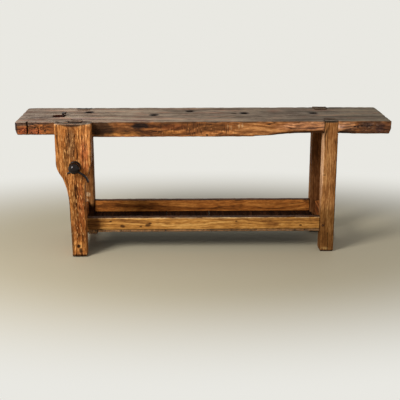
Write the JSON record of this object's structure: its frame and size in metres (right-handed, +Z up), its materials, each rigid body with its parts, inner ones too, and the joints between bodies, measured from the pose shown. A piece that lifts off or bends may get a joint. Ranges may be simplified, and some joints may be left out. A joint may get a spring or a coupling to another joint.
{
  "type": "woodworking bench",
  "caption": "Long plank-top woodworking bench on flush legs with stretchers, a nailed shelf, a leg vise with an iron screw, holdfast holes and a sliding planing stop.",
  "frame": {"origin": "on the floor, midway along the bench and midway between its front and back reach", "axes": "+X along the bench to the right as one faces the vise side, +Y to the back, +Z up"},
  "size_m": [2.2, 0.6342, 0.823],
  "materials": {
    "top_timber": "old hardwood, greyed and scarred on top, red-brown on the edges",
    "leg_timber": "old oak, honey brown, worn",
    "stretcher_timber": "old oak, honey brown, waxed",
    "shelf_timber": "old boards, dark and dusty",
    "chop_timber": "old elm, orange brown with strong grain",
    "stop_timber": "dark red-brown hardwood, end grain up",
    "peg_timber": "dark riven oak",
    "forged_iron": "forged, black-brown, rubbed"
  },
  "bodies": {
    "bench": {"bench_top": "top_timber", "front_left_leg": "leg_timber", "front_right_leg": "leg_timber", "rear_left_leg": "leg_timber", "rear_right_leg": "leg_timber", "front_stretcher": "stretcher_timber", "rear_stretcher": "stretcher_timber", "left_end_rail": "stretcher_timber", "right_end_rail": "stretcher_timber", "stretcher_pegs": "peg_timber", "shelf_board_1": "shelf_timber", "shelf_board_2": "shelf_timber", "shelf_board_3": "shelf_timber", "shelf_board_4": "shelf_timber", "shelf_board_5": "shelf_timber", "shelf_board_6": "shelf_timber", "shelf_batten": "shelf_timber", "shelf_nails": "forged_iron", "vise_nut": "forged_iron", "nut_screws": "forged_iron"},
    "jaw": {"vise_chop": "chop_timber", "vise_washer": "forged_iron", "parallel_guide": "chop_timber", "guide_tenon_peg": "peg_timber"},
    "screw": {"vise_screw": "forged_iron", "vise_handle": "forged_iron", "keeper_ring": "forged_iron", "keeper_pin": "forged_iron"},
    "pin": {"guide_pin": "peg_timber"},
    "stop": {"planing_stop": "stop_timber", "planing_stop_claw": "forged_iron"}
  },
  "joints": [
    {"name": "jaw_slide", "type": "slide", "parent": "bench", "child": "jaw", "axis": [0, -1, 0], "range_m": [0, 0.16]},
    {"name": "screw_turn", "type": "hinge", "parent": "jaw", "child": "screw", "pos_m": [-0.7505, -0.28315, 0.556], "axis": [0, -1, 0], "range_deg": [0, 7190]},
    {"name": "pin_pull", "type": "slide", "parent": "jaw", "child": "pin", "axis": [-1, 0, 0], "range_m": [0, 0.05]},
    {"name": "stop_lift", "type": "slide", "parent": "bench", "child": "stop", "axis": [0, 0, 1], "range_m": [0, 0.05]}
  ],
  "couplings": [
    {"joint": "jaw_slide", "follows": "screw_turn", "m_per_rad": 0.0012732}
  ]
}
